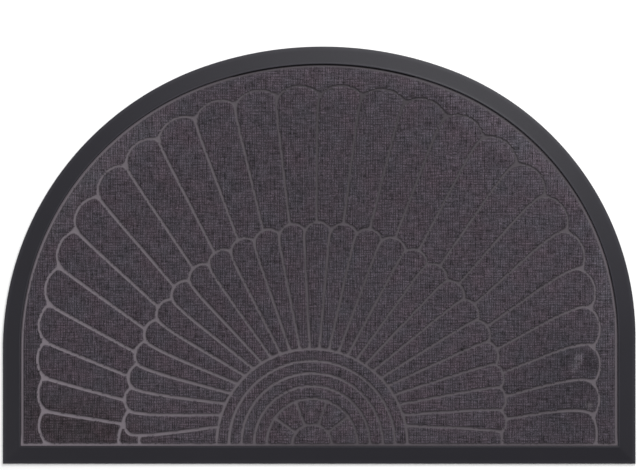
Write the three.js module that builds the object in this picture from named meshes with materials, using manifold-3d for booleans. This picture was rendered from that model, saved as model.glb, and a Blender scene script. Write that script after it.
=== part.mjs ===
// Half-round doormat: a moulded rubber base with a raised, bevelled border, and a short-pile carpet
// inlay that has a fan of petals pressed into it.
// Millimetres, +Z up. The straight edge runs along X and the arch points towards +Y. While the pieces
// are drawn, y counts from the straight edge; the group then moves the middle of the outline's box
// over the origin, which lies on the floor.

import * as THREE from 'three';
import { mergeVertices } from 'three/addons/utils/BufferGeometryUtils.js';
import Module from 'manifold-3d';

const wasm = await Module();
wasm.setup();

// Driving dimensions

// An arch of three arcs: straight sides, two shoulders and a crown, all meeting smoothly. lean sets the
// crown's centre to the right of the middle, and shift moves the whole arch: the mat is a little uneven.
const outline = {
  halfWidth: 450, top: 593.5, crownRadius: 514, leftShoulder: 426, rightShoulder: 406, lean: 5, shift: 0,
};

const base = { floor: 2, borderWidth: 25, lip: 6.5 };

// The border's section, from the floor outside to the recess: how far in from the edge, and how high
const borderSection = [
  { inset: 0, height: 0 },
  { inset: 0, height: 2.4 },
  { inset: 0.9, height: 3.2 },
  { inset: 22.4, height: 6.1 },
  { inset: 23.4, height: base.lip },
  { inset: 24.5, height: base.lip },
  { inset: base.borderWidth, height: 6 },
  { inset: base.borderWidth, height: base.floor },
];

// pressed is the height of the rim and of the grooves' floors, and wallRun how far the step up from
// the rim leans in
const carpet = { gap: 0.3, pileTop: 6.5, pressed: 4.4, rimWidth: 3.2, wallRun: 0.7 };

// lead is how far a groove runs past its ends, and headroom how far the bar that cuts it stands above
// the pile
const groove = { width: 2.9, lead: 1.6, headroom: 1 };

// Each ring of petals has its cusps on an arch like the outline, where rays from (rayX, rayY) cut it.
// The rays are step degrees apart, and turn is how far the middle of the ring is turned clockwise.
const outerRing = {
  halfWidth: 390.6, top: 525.7, crownRadius: 926, leftShoulder: 370, rightShoulder: 354, lean: 7.2,
  shift: -0.7, rayX: -5.6, rayY: -34.4, step: 6.23, turn: 0.74,
};
const innerRing = {
  halfWidth: 264.8, top: 332.5, crownRadius: 277.2, leftShoulder: 269.3, rightShoulder: 253.8, lean: -0.2,
  shift: -5.8, rayX: 0.4, rayY: 21.7, step: 6.814, turn: -0.3,
};

const petals = 26; // in each ring, the last ones cut off by the straight edge

// How far a petal's crown bulges, as a share of its chord: at the top of the fan, where its shoulders
// are and at its sides
const outerBulge = { top: 0.217, shoulder: 0.255, side: 0.162 };
const innerBulge = { top: 0.338, shoulder: 0.28, side: 0.223 };
const shoulderPlace = 0.4; // the shoulders' place between the top, 0, and the sides, 1

// Where the crowns of the cut petals meet the straight edge's rim, and how far they bulge
const outerCuts = { left: { x: -386.5, bulge: 0.2 }, right: { x: 393.5, bulge: 0.08 } };
const innerCuts = { left: { x: -284, bulge: 0.12 }, right: { x: 260, bulge: 0.04 } };

// The groove beside a petal bows clockwise towards its outer end and runs on into the petal's crown.
// An elbow is how far before the cusp its two directions meet, and a bow how far before that it starts
// to bend, on the left, in the middle and on the right.
const outerElbow = { left: 2, middle: 5.1, right: 17.2 };
const innerElbow = { left: 10.7, middle: 4.5, right: 4 };
const outerBow = { left: 61, middle: 41, right: 82 };
const innerBow = { left: 100, middle: 3, right: 97 };
const bowFacets = 5; // straight pieces that a bow is drawn in

// Where the grooves between outer petals stand on the inner crowns, as a share of the crown's arc
const footShare = { left: 0.417, middle: 0.452, right: 0.401 };

const hub = { x: -10, y: 28.5, radii: [28, 64.5, 82.3, 100.5, 118, 135.5], spokes: [-55, -21, 19, 53] };
const pivot = { x: -9.5, y: 64 }; // where the inner petals' side grooves point
const neck = { right: 15, down: 4.4 }; // from the lowest inner cusp on the left to a short groove's top

const sagLimit = 0.3; // how far a straight facet may leave its curve
const fewestFacets = 2; // in an arc, however short it is
const mergeReach = 1e-4; // corners nearer to each other than this are one

const degrees = Math.PI / 180;

// Arches

// Where an arch's crown arc and its shoulder arcs have their centres
function archCentres(arch) {
  const crown = new THREE.Vector2(arch.lean, arch.top - arch.crownRadius);
  const shoulder = (side, radius) => {
    const x = side * (arch.halfWidth - radius) + arch.shift;
    return new THREE.Vector2(x, crown.y + Math.sqrt((arch.crownRadius - radius) ** 2 - (x - crown.x) ** 2));
  };
  return { crown, left: shoulder(-1, arch.leftShoulder), right: shoulder(1, arch.rightShoulder) };
}

function facetStep(radius) {
  return 2 * Math.acos(1 - sagLimit / radius);
}

// Points of an arc about a centre; angles from +Y, clockwise, in radians
function arcPoints(centre, radius, from, to, facets) {
  const count = facets ?? Math.max(fewestFacets, Math.ceil(Math.abs(to - from) / facetStep(radius)));
  return Array.from({ length: count + 1 }, (_, i) => {
    const angle = from + ((to - from) * i) / count;
    return new THREE.Vector2(centre.x + radius * Math.sin(angle), centre.y + radius * Math.cos(angle));
  });
}

// The mat's outline, inset by a distance: anticlockwise from the left end of the straight edge.
// Every inset has the same number of points, so that outlines can be joined into walls.
function outlineAt(inset) {
  const { crown, left, right } = archCentres(outline);
  const joinLeft = Math.atan2(left.x - crown.x, left.y - crown.y);
  const joinRight = Math.atan2(right.x - crown.x, right.y - crown.y);
  const facets = (radius, turn) => Math.ceil(turn / facetStep(radius));
  const rightFacets = facets(outline.rightShoulder, Math.PI / 2 - joinRight);
  const crownFacets = facets(outline.crownRadius, joinRight - joinLeft);
  const leftFacets = facets(outline.leftShoulder, Math.PI / 2 + joinLeft);
  return [
    new THREE.Vector2(inset - outline.halfWidth, inset),
    new THREE.Vector2(outline.halfWidth - inset, inset),
    ...arcPoints(right, outline.rightShoulder - inset, Math.PI / 2, joinRight, rightFacets),
    ...arcPoints(crown, outline.crownRadius - inset, joinRight, joinLeft, crownFacets).slice(1, -1),
    ...arcPoints(left, outline.leftShoulder - inset, joinLeft, -Math.PI / 2, leftFacets),
  ];
}

// How far a ray from a point, along a unit direction, goes before it leaves a circle around it
function reachOfCircle(point, direction, centre, radius) {
  const toPoint = point.clone().sub(centre);
  const along = toPoint.dot(direction);
  return Math.sqrt(along ** 2 - toPoint.lengthSq() + radius ** 2) - along;
}

// The point where a ray from an origin, at an angle clockwise from +Y, leaves an arch
function rayToArch(arch, origin, angle) {
  const { crown, left, right } = archCentres(arch);
  const isLeft = angle < 0;
  const shoulder = isLeft ? left : right;
  const shoulderRadius = isLeft ? arch.leftShoulder : arch.rightShoulder;
  const direction = new THREE.Vector2(Math.sin(angle), Math.cos(angle));
  const at = (reach) => origin.clone().addScaledVector(direction, reach);

  const onCrown = at(reachOfCircle(origin, direction, crown, arch.crownRadius));
  const join = Math.atan2(Math.abs(shoulder.x - crown.x), shoulder.y - crown.y);
  const turn = Math.atan2(Math.abs(onCrown.x - crown.x), onCrown.y - crown.y);
  if (turn <= join) return onCrown;
  const onShoulder = at(reachOfCircle(origin, direction, shoulder, shoulderRadius));
  if (onShoulder.y >= shoulder.y) return onShoulder;
  const wallX = (isLeft ? -arch.halfWidth : arch.halfWidth) + arch.shift;
  return at((wallX - origin.x) / direction.x);
}

// Solids

// A closed body through rings of equal length, from the bottom up; the first and last are capped
function loft(rings) {
  const count = rings[0].length;
  const positions = rings.flatMap((ring) => ring.flatMap((p) => [p.x, p.y, p.z]));
  const index = [];
  for (let r = 0; r + 1 < rings.length; r++) {
    for (let i = 0; i < count; i++) {
      const a = r * count + i;
      const b = r * count + ((i + 1) % count);
      index.push(a, b, b + count, a, b + count, a + count);
    }
  }
  const last = (rings.length - 1) * count;
  for (const [a, b, c] of THREE.ShapeUtils.triangulateShape(rings[0], [])) index.push(a, c, b);
  for (const [a, b, c] of THREE.ShapeUtils.triangulateShape(rings.at(-1), [])) {
    index.push(last + a, last + b, last + c);
  }
  const geometry = new THREE.BufferGeometry();
  geometry.setAttribute('position', new THREE.Float32BufferAttribute(positions, 3));
  geometry.setIndex(index);
  return geometry;
}

function atHeight(points, z) {
  return points.map((p) => new THREE.Vector3(p.x, p.y, z));
}

function toManifold(geometry) {
  const merged = mergeVertices(geometry, mergeReach);
  return new wasm.Manifold(new wasm.Mesh({
    numProp: 3,
    vertProperties: new Float32Array(merged.attributes.position.array),
    triVerts: new Uint32Array(merged.index.array),
  }));
}

function toGeometry(solid) {
  const mesh = solid.getMesh();
  const geometry = new THREE.BufferGeometry();
  geometry.setAttribute('position', new THREE.Float32BufferAttribute(mesh.vertProperties, 3));
  geometry.setIndex(Array.from(mesh.triVerts));
  return geometry;
}

// Pressed grooves

// The band along a path, as wide as a groove, anticlockwise
function grooveBand(path) {
  const last = path.length - 1;
  const left = [];
  const right = [];
  path.forEach((point, i) => {
    const before = path[Math.max(i - 1, 0)];
    const after = path[Math.min(i + 1, last)];
    const along = after.clone().sub(before).normalize();
    const across = new THREE.Vector2(-along.y, along.x).multiplyScalar(groove.width / 2);
    const leads = { 0: -groove.lead, [last]: groove.lead };
    const middle = point.clone().addScaledVector(along, leads[i] ?? 0);
    left.push(middle.clone().add(across));
    right.push(middle.clone().sub(across));
  });
  return [...right, ...left.reverse()];
}

// The bar that presses one groove into the pile
function grooveBar(path) {
  const band = grooveBand(path);
  const top = carpet.pileTop + groove.headroom;
  return toManifold(loft([atHeight(band, carpet.pressed), atHeight(band, top)]));
}

// Fan of petals

function cuspAt(ring, place) {
  const angle = (place * ring.step + ring.turn) * degrees;
  return rayToArch(ring, new THREE.Vector2(ring.rayX, ring.rayY), angle);
}

// A value that goes from left through middle to right as place goes from -1 to 1
function blend({ left, middle, right }, place) {
  return THREE.MathUtils.lerp(middle, place < 0 ? left : right, Math.min(Math.abs(place), 1));
}

// The arc over a petal, from its anticlockwise cusp to its clockwise one
function crownArc(from, to, share) {
  const chord = to.clone().sub(from);
  const halfAngle = 2 * Math.atan(2 * share);
  const radius = chord.length() / 2 / Math.sin(halfAngle);
  const outward = new THREE.Vector2(-chord.y, chord.x).normalize();
  const inward = -radius * Math.cos(halfAngle);
  const centre = from.clone().lerp(to, 0.5).addScaledVector(outward, inward);
  const middle = Math.atan2(outward.x, outward.y);
  return arcPoints(centre, radius, middle - halfAngle, middle + halfAngle);
}

// A groove from its inner end out to a cusp, bowed towards it to run on into the crown
function sideAndCrown(inner, crown, elbow, bow) {
  const cusp = crown[0];
  const tangent = crown[1].clone().sub(cusp).normalize();
  const corner = cusp.clone().addScaledVector(tangent, -elbow);
  const back = inner.clone().sub(corner).normalize();
  const start = corner.clone().addScaledVector(back, bow);
  const bend = new THREE.QuadraticBezierCurve(start, corner, cusp).getPoints(bowFacets);
  return [inner, ...bend, ...crown.slice(1)];
}

// Where the straight line from a point to the pivot meets the outermost arc of the hub
function hubEnd(from) {
  const pivotPoint = new THREE.Vector2(pivot.x, pivot.y);
  const direction = from.clone().sub(pivotPoint).normalize();
  const reach = reachOfCircle(pivotPoint, direction, hub, hub.radii.at(-1));
  return pivotPoint.addScaledVector(direction, reach);
}

// The share of its chord that a crown bulges by, from 0 at the top of the fan to 1 at its sides
function bulgeAt({ top, shoulder, side }, place) {
  if (place < shoulderPlace) return THREE.MathUtils.lerp(top, shoulder, place / shoulderPlace);
  return THREE.MathUtils.lerp(shoulder, side, (place - shoulderPlace) / (1 - shoulderPlace));
}

// The crowns between the cusps at the given places, from left to right
function crownsOf(ring, bulge, places) {
  return places.slice(1).map((place, i) => {
    const middle = Math.abs(places[i] + place) / petals;
    return crownArc(cuspAt(ring, places[i]), cuspAt(ring, place), bulgeAt(bulge, middle));
  });
}

// The point a share of the way along an arc's points
function pointAlong(arc, share) {
  const at = share * (arc.length - 1);
  const i = Math.floor(at);
  return arc[i].clone().lerp(arc[i + 1], at - i);
}

function range(from, to) {
  return Array.from({ length: Math.round(to - from) + 1 }, (_, i) => from + i);
}

function onRim(x) {
  return new THREE.Vector2(x, base.borderWidth + carpet.rimWidth);
}

// Both rings of petals. One groove runs up a petal's side and on over its crown.
function fanGrooves() {
  const half = petals / 2;
  const outerPlaces = range(1 - half, half - 1);
  const innerPlaces = range(0.5 - half, half - 0.5);
  const outerCrowns = crownsOf(outerRing, outerBulge, outerPlaces);
  const innerCrowns = crownsOf(innerRing, innerBulge, innerPlaces);
  const outerLast = crownArc(outerCrowns.at(-1).at(-1), onRim(outerCuts.right.x), outerCuts.right.bulge);
  const innerLast = crownArc(innerCrowns.at(-1).at(-1), onRim(innerCuts.right.x), innerCuts.right.bulge);

  const outer = [...outerCrowns, outerLast].map((crown, i) => {
    const place = outerPlaces[i] / half;
    const foot = pointAlong(innerCrowns[i], blend(footShare, place));
    return sideAndCrown(foot, crown, blend(outerElbow, place), blend(outerBow, place));
  });
  const inner = [...innerCrowns, innerLast].map((crown, i) => {
    const place = innerPlaces[i] / half;
    return sideAndCrown(hubEnd(crown[0]), crown, blend(innerElbow, place), blend(innerBow, place));
  });

  // The cut petals on the left: their crowns rise from the rim and have no side groove
  const outerFirst = crownArc(onRim(outerCuts.left.x), outerCrowns[0][0], outerCuts.left.bulge);
  const innerTop = pointAlong(innerCrowns[0], footShare.left);
  const innerFirst = crownArc(onRim(innerCuts.left.x), innerTop, innerCuts.left.bulge);
  const neckTop = innerCrowns[0][0].clone().add(new THREE.Vector2(neck.right, -neck.down));
  return [outerFirst, ...outer, innerFirst, ...inner, [neckTop, onRim(neckTop.x)]];
}

function hubGrooves() {
  const middle = new THREE.Vector2(hub.x, hub.y);
  const arcs = hub.radii.map((radius) => arcPoints(middle, radius, -Math.PI / 2, Math.PI / 2));
  const spokes = hub.spokes.map((spoke) => {
    const direction = new THREE.Vector2(Math.sin(spoke * degrees), Math.cos(spoke * degrees));
    const [innermost, next] = hub.radii;
    return [innermost, next].map((radius) => middle.clone().addScaledVector(direction, radius));
  });
  return [...arcs, ...spokes];
}

// Sub-parts

function rubberBase() {
  return loft(borderSection.map(({ inset, height }) => atHeight(outlineAt(inset), height)));
}

function carpetInlay() {
  const edge = base.borderWidth + carpet.gap;
  const section = [
    { inset: edge, height: base.floor + carpet.gap },
    { inset: edge, height: carpet.pressed },
    { inset: edge + carpet.rimWidth, height: carpet.pressed },
    { inset: edge + carpet.rimWidth + carpet.wallRun, height: carpet.pileTop },
  ];
  let solid = toManifold(loft(section.map(({ inset, height }) => atHeight(outlineAt(inset), height))));
  for (const path of [...fanGrooves(), ...hubGrooves()]) solid = solid.subtract(grooveBar(path));
  return toGeometry(solid);
}

const rubber = new THREE.MeshStandardMaterial({ color: 0x33323a, roughness: 0.62, metalness: 0 });
const pile = new THREE.MeshStandardMaterial({ color: 0x464147, roughness: 0.95, metalness: 0 });

function subPart(name, geometry, material) {
  const mesh = new THREE.Mesh(geometry, material);
  mesh.name = name;
  return mesh;
}

const mat = new THREE.Group();
mat.position.y = -outline.top / 2;
mat.add(subPart('rubber_base', rubberBase(), rubber));
mat.add(subPart('carpet_inlay', carpetInlay(), pile));

export default mat;
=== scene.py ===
import math

import bmesh
import bpy
import numpy as np
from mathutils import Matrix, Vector
from mathutils.geometry import delaunay_2d_cdt


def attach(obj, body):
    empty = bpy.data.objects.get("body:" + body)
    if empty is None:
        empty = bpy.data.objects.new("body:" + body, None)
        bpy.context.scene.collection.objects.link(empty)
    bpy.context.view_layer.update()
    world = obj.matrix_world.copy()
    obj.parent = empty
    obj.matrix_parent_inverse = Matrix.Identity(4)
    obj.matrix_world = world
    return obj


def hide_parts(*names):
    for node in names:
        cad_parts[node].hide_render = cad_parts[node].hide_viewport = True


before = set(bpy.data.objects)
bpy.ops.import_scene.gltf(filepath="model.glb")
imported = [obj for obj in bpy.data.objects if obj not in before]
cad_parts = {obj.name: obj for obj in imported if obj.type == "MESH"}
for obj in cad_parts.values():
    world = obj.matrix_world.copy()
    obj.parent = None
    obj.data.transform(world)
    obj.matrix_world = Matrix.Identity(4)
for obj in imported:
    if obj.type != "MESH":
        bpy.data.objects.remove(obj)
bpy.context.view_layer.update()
print("frame loaded:", sorted(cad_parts))

# The mat is drawn in millimetres with y from its straight edge; toFrame() gives metres in the frame.
# An arch has straight sides, two shoulders and a crown. lean moves its crown to the right, shift all of it.
matOutline = {"halfWidth": 450, "top": 593.5, "crownRadius": 514, "leftShoulder": 426, "rightShoulder": 406,
              "lean": 5, "shift": 0}

degree = math.pi / 180
milli = 0.001


def toFrame(points, heights):
    x = points[:, 0] * milli
    y = (points[:, 1] - matOutline["top"] / 2) * milli
    return np.column_stack([x, y, np.broadcast_to(heights, len(points)) * milli])


def archCentres(arch):
    crown = np.array([arch["lean"], arch["top"] - arch["crownRadius"]], float)
    centres = {"crown": crown}
    for side, name in ((-1, "left"), (1, "right")):
        radius = arch[name + "Shoulder"]
        x = side * (arch["halfWidth"] - radius) + arch["shift"]
        rise = math.sqrt((arch["crownRadius"] - radius) ** 2 - (x - crown[0]) ** 2)
        centres[name] = np.array([x, crown[1] + rise])
    return centres


def bearing(vector):
    return math.atan2(vector[0], vector[1])  # clockwise from +Y


def arcPoints(centre, radius, start, end, count):
    angles = np.linspace(start, end, count + 1)
    return np.column_stack([centre[0] + radius * np.sin(angles), centre[1] + radius * np.cos(angles)])


# Anticlockwise from the left end of the straight edge; every inset has the same number of points
def outlineAt(inset, step):
    centres = archCentres(matOutline)
    half = matOutline["halfWidth"]
    joinLeft = bearing(centres["left"] - centres["crown"])
    joinRight = bearing(centres["right"] - centres["crown"])
    corners = [np.array([inset - half, inset]), np.array([half - inset, inset])]
    runs = []
    ends = [corners[1], np.array([half - inset, centres["right"][1]])]
    for start, end, length in ((corners[0], ends[0], 2 * half), (ends[0], ends[1], centres["right"][1])):
        runs.append(np.linspace(start, end, math.ceil(length / step) + 1)[:-1])
    arcs = (("right", "rightShoulder", math.pi / 2, joinRight),
            ("crown", "crownRadius", joinRight, joinLeft),
            ("left", "leftShoulder", joinLeft, -math.pi / 2))
    for centre, radius, start, end in arcs:
        count = math.ceil(abs(end - start) * matOutline[radius] / step)
        runs.append(arcPoints(centres[centre], matOutline[radius] - inset, start, end, count)[:-1])
    leftSide = np.array([inset - half, centres["left"][1]])
    runs.append(np.linspace(leftSide, corners[0], math.ceil(centres["left"][1] / step) + 1)[:-1])
    return np.concatenate(runs)


# How far inside the outline each point is
def insetOf(points):
    centres = archCentres(matOutline)
    x, y = points[:, 0], points[:, 1]
    turn = np.arctan2(x - centres["crown"][0], y - centres["crown"][1])
    inset = matOutline["crownRadius"] - np.hypot(x - centres["crown"][0], y - centres["crown"][1])
    for side, name in ((-1, "left"), (1, "right")):
        centre = centres[name]
        onShoulder = side * turn > side * bearing(centre - centres["crown"])
        radius = matOutline[name + "Shoulder"]
        shoulder = radius - np.hypot(x - centre[0], y - centre[1])
        straight = matOutline["halfWidth"] - side * x
        inset = np.where(onShoulder, np.where(y > centre[1], shoulder, straight), inset)
    return np.minimum(inset, y)


# The fan: two rings of petals round a hub of half circles.
# Each ring's cusps lie where rays from (rayX, rayY), step degrees apart, cut an arch.
fan = {
    "outerRing": {"halfWidth": 390.6, "top": 525.7, "crownRadius": 926, "leftShoulder": 370,
                  "rightShoulder": 354, "lean": 7.2, "shift": -0.7, "rayX": -5.6, "rayY": -34.4,
                  "step": 6.23, "turn": 0.74},
    "innerRing": {"halfWidth": 264.8, "top": 332.5, "crownRadius": 277.2, "leftShoulder": 269.3,
                  "rightShoulder": 253.8, "lean": -0.2, "shift": -5.8, "rayX": 0.4, "rayY": 21.7,
                  "step": 6.814, "turn": -0.3},
    "petals": 26,
    "outerBulge": {"top": 0.217, "shoulder": 0.255, "side": 0.162},
    "innerBulge": {"top": 0.338, "shoulder": 0.28, "side": 0.223},
    "shoulderPlace": 0.4,
    "outerCuts": {"left": (-386.5, 0.2), "right": (393.5, 0.08)},  # x on the rim, bulge
    "innerCuts": {"left": (-284, 0.12), "right": (260, 0.04)},
    "outerElbow": {"left": 2, "middle": 5.1, "right": 17.2},  # how far before the cusp the bow's corner lies
    "innerElbow": {"left": 10.7, "middle": 4.5, "right": 4},
    "outerBow": {"left": 61, "middle": 41, "right": 82},  # how far before its corner a side starts to bend
    "innerBow": {"left": 100, "middle": 3, "right": 97},
    "footShare": {"left": 0.417, "middle": 0.452, "right": 0.401},
    "hub": (-10, 28.5),
    "hubRadii": [28, 64.5, 82.3, 100.5, 118, 135.5],
    "spokes": [-55, -21, 19, 53],
    "pivot": (-9.5, 64),
    "neck": (15, -4.4),  # from the lowest inner cusp on the left to a short groove's top
    "rimLine": 28.2,  # how far above the straight edge the grooves end
    "pointStep": 1.3, "bowStep": 5, "fewestBends": 5,
}


def reachOfCircle(point, direction, centre, radius):
    toPoint = point - centre
    along = toPoint @ direction
    return math.sqrt(along ** 2 - toPoint @ toPoint + radius ** 2) - along


def rayToArch(arch, origin, angle):
    centres = archCentres(arch)
    side = "left" if angle < 0 else "right"
    shoulder = centres[side]
    direction = np.array([math.sin(angle), math.cos(angle)])
    onCrown = origin + direction * reachOfCircle(origin, direction, centres["crown"], arch["crownRadius"])
    join = abs(bearing(shoulder - centres["crown"]))
    if abs(bearing(onCrown - centres["crown"])) <= join:
        return onCrown
    onShoulder = origin + direction * reachOfCircle(origin, direction, shoulder, arch[side + "Shoulder"])
    if onShoulder[1] >= shoulder[1]:
        return onShoulder
    wallX = (-arch["halfWidth"] if angle < 0 else arch["halfWidth"]) + arch["shift"]
    return origin + direction * (wallX - origin[0]) / direction[0]


def cuspAt(ring, place):
    origin = np.array([ring["rayX"], ring["rayY"]])
    return rayToArch(ring, origin, (place * ring["step"] + ring["turn"]) * degree)


# place goes from -1 on the left to 1 on the right
def blendOver(values, place):
    side = values["left"] if place < 0 else values["right"]
    return values["middle"] + (side - values["middle"]) * min(abs(place), 1)


def crownArc(start, end, share):
    chord = end - start
    length = np.linalg.norm(chord)
    halfAngle = 2 * math.atan(2 * share)
    radius = length / 2 / math.sin(halfAngle)
    outward = np.array([-chord[1], chord[0]]) / length
    centre = (start + end) / 2 - outward * radius * math.cos(halfAngle)
    middle = bearing(outward)
    count = max(4, math.ceil(2 * halfAngle * radius / fan["pointStep"]))
    return arcPoints(centre, radius, middle - halfAngle, middle + halfAngle, count)


def sideAndCrown(inner, crown, elbow, bow):
    cusp = crown[0]
    tangent = crown[1] - cusp
    corner = cusp - tangent / np.linalg.norm(tangent) * elbow
    back = inner - corner
    start = corner + back / np.linalg.norm(back) * bow
    count = math.ceil(bow / fan["bowStep"]) + fan["fewestBends"]
    share = np.linspace(0, 1, count)[:, None]
    bend = start * (1 - share) ** 2 + 2 * corner * share * (1 - share) + cusp * share ** 2
    return np.concatenate([[inner], bend, crown[1:]])


def hubEnd(point):
    pivot = np.array(fan["pivot"])
    direction = (point - pivot) / np.linalg.norm(point - pivot)
    return pivot + direction * reachOfCircle(pivot, direction, np.array(fan["hub"]), fan["hubRadii"][-1])


def bulgeAt(bulge, place):
    turn = fan["shoulderPlace"]
    return float(np.interp(place, [0, turn, 1], [bulge["top"], bulge["shoulder"], bulge["side"]]))


def crownsOf(ring, bulge, places):
    crowns = []
    for here, there in zip(places, places[1:]):
        share = bulgeAt(bulge, abs(here + there) / fan["petals"])
        crowns.append(crownArc(cuspAt(ring, here), cuspAt(ring, there), share))
    return crowns


def pointAlong(arc, share):
    at = share * (len(arc) - 1)
    first = int(at)
    return arc[first] + (arc[first + 1] - arc[first]) * (at - first)


# The grooves of both rings, and the scalloped line round the fan
def fanGrooves():
    half = fan["petals"] // 2
    outerPlaces = list(range(1 - half, half))
    innerPlaces = [place - 0.5 for place in range(1 - half, half + 1)]
    outerCrowns = crownsOf(fan["outerRing"], fan["outerBulge"], outerPlaces)
    innerCrowns = crownsOf(fan["innerRing"], fan["innerBulge"], innerPlaces)
    rim = {name: {side: (np.array([fan[name][side][0], fan["rimLine"]]), fan[name][side][1])
                  for side in ("left", "right")} for name in ("outerCuts", "innerCuts")}
    outerLast = crownArc(outerCrowns[-1][-1], *rim["outerCuts"]["right"])
    innerLast = crownArc(innerCrowns[-1][-1], *rim["innerCuts"]["right"])
    outerEnd, outerShare = rim["outerCuts"]["left"]
    innerEnd, innerShare = rim["innerCuts"]["left"]
    outerFirst = crownArc(outerEnd, outerCrowns[0][0], outerShare)
    innerFirst = crownArc(innerEnd, pointAlong(innerCrowns[0], fan["footShare"]["left"]), innerShare)
    scallops = np.concatenate([outerFirst] + outerCrowns + [outerLast])
    grooves = [outerFirst, innerFirst]
    for place, crown, foot in zip(outerPlaces, outerCrowns + [outerLast], innerCrowns):
        share = place / half
        inner = pointAlong(foot, blendOver(fan["footShare"], share))
        elbow, bow = blendOver(fan["outerElbow"], share), blendOver(fan["outerBow"], share)
        grooves.append(sideAndCrown(inner, crown, elbow, bow))
    for place, crown in zip(innerPlaces, innerCrowns + [innerLast]):
        share = place / half
        elbow, bow = blendOver(fan["innerElbow"], share), blendOver(fan["innerBow"], share)
        grooves.append(sideAndCrown(hubEnd(crown[0]), crown, elbow, bow))
    neck = innerCrowns[0][0] + np.array(fan["neck"])
    grooves.append(np.array([neck, [neck[0], fan["rimLine"]]]))
    return grooves, scallops


def hubGrooves():
    hub = np.array(fan["hub"])
    grooves = []
    for radius in fan["hubRadii"]:
        count = math.ceil(math.pi * radius / fan["pointStep"])
        grooves.append(arcPoints(hub, radius, -math.pi / 2, math.pi / 2, count))
    for spoke in fan["spokes"]:
        direction = np.array([math.sin(spoke * degree), math.cos(spoke * degree)])
        grooves.append(np.array([hub + direction * radius for radius in fan["hubRadii"][:2]]))
    return grooves


# Points the given distance apart along a line
def spaced(line, step):
    runs = np.linalg.norm(np.diff(line, axis=0), axis=1)
    along = np.concatenate([[0], np.cumsum(runs)])
    at = np.linspace(0, along[-1], max(2, math.ceil(along[-1] / step) + 1))
    return np.column_stack([np.interp(at, along, line[:, axis]) for axis in (0, 1)])


# Wires a node: inputs are sockets by name or number, each given a value or the socket that feeds it
def addNode(tree, kind, inputs=None, **settings):
    node = tree.nodes.new(kind)
    for key, value in settings.items():
        setattr(node, key, value)
    for key, value in (inputs or {}).items():
        if isinstance(value, bpy.types.NodeSocket):
            tree.links.new(value, node.inputs[key])
        else:
            node.inputs[key].default_value = value
    return node


# A new node group with the given sockets, and its inputs as they come in
def newGroup(name, kind, inputs, outputs):
    tree = bpy.data.node_groups.new(name, kind)
    for way, sockets in (("INPUT", inputs), ("OUTPUT", outputs)):
        for title, socketKind, *value in sockets:
            socket = tree.interface.new_socket(name=title, in_out=way, socket_type="NodeSocket" + socketKind)
            if value:
                socket.default_value = value[0]
    return tree, tree.nodes.new("NodeGroupInput").outputs


def mathNode(tree, operation, *values):
    inputs = dict(enumerate(values))
    return addNode(tree, "ShaderNodeMath", inputs, operation=operation).outputs[0]


def vectorNode(tree, operation, one, two):
    return addNode(tree, "ShaderNodeVectorMath", {0: one, 1: two}, operation=operation).outputs[0]


# A colour or vector times a number
def scaledColour(tree, colour, tone):
    return addNode(tree, "ShaderNodeVectorMath", {0: colour, 3: tone}, operation="SCALE").outputs[0]


def finishPiece(piece, material):
    piece.data.materials.clear()
    piece.data.materials.append(material)
    piece.data.polygons.foreach_set("material_index", [0] * len(piece.data.polygons))
    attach(piece, "root")


# Colour, weave and grain effects that more than one finish uses

def toneDriftGroup():
    tree, given = newGroup(
        "toneDrift", "ShaderNodeTree",
        [("Vector", "Vector"), ("Size", "Float", 0.06), ("Amount", "Float", 0.1)], [("Tone", "Float")])
    scale = mathNode(tree, "DIVIDE", 1.0, given["Size"])
    noise = addNode(tree, "ShaderNodeTexNoise", {"Vector": given["Vector"], "Scale": scale, "Detail": 4.0})
    centred = mathNode(tree, "SUBTRACT", noise.outputs["Fac"], 0.5)
    tone = mathNode(tree, "MULTIPLY_ADD", centred, given["Amount"], 1.0)
    addNode(tree, "NodeGroupOutput", {"Tone": tone})
    return tree


def fineGrainGroup():
    tree, given = newGroup(
        "fineGrain", "ShaderNodeTree",
        [("Vector", "Vector"), ("Size", "Float", 0.001)], [("Height", "Float")])
    scale = mathNode(tree, "DIVIDE", 1.0, given["Size"])
    grain = addNode(tree, "ShaderNodeTexNoise", {"Vector": given["Vector"], "Scale": scale, "Detail": 3.0})
    addNode(tree, "NodeGroupOutput", {"Height": grain.outputs["Fac"]})
    return tree


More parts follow.
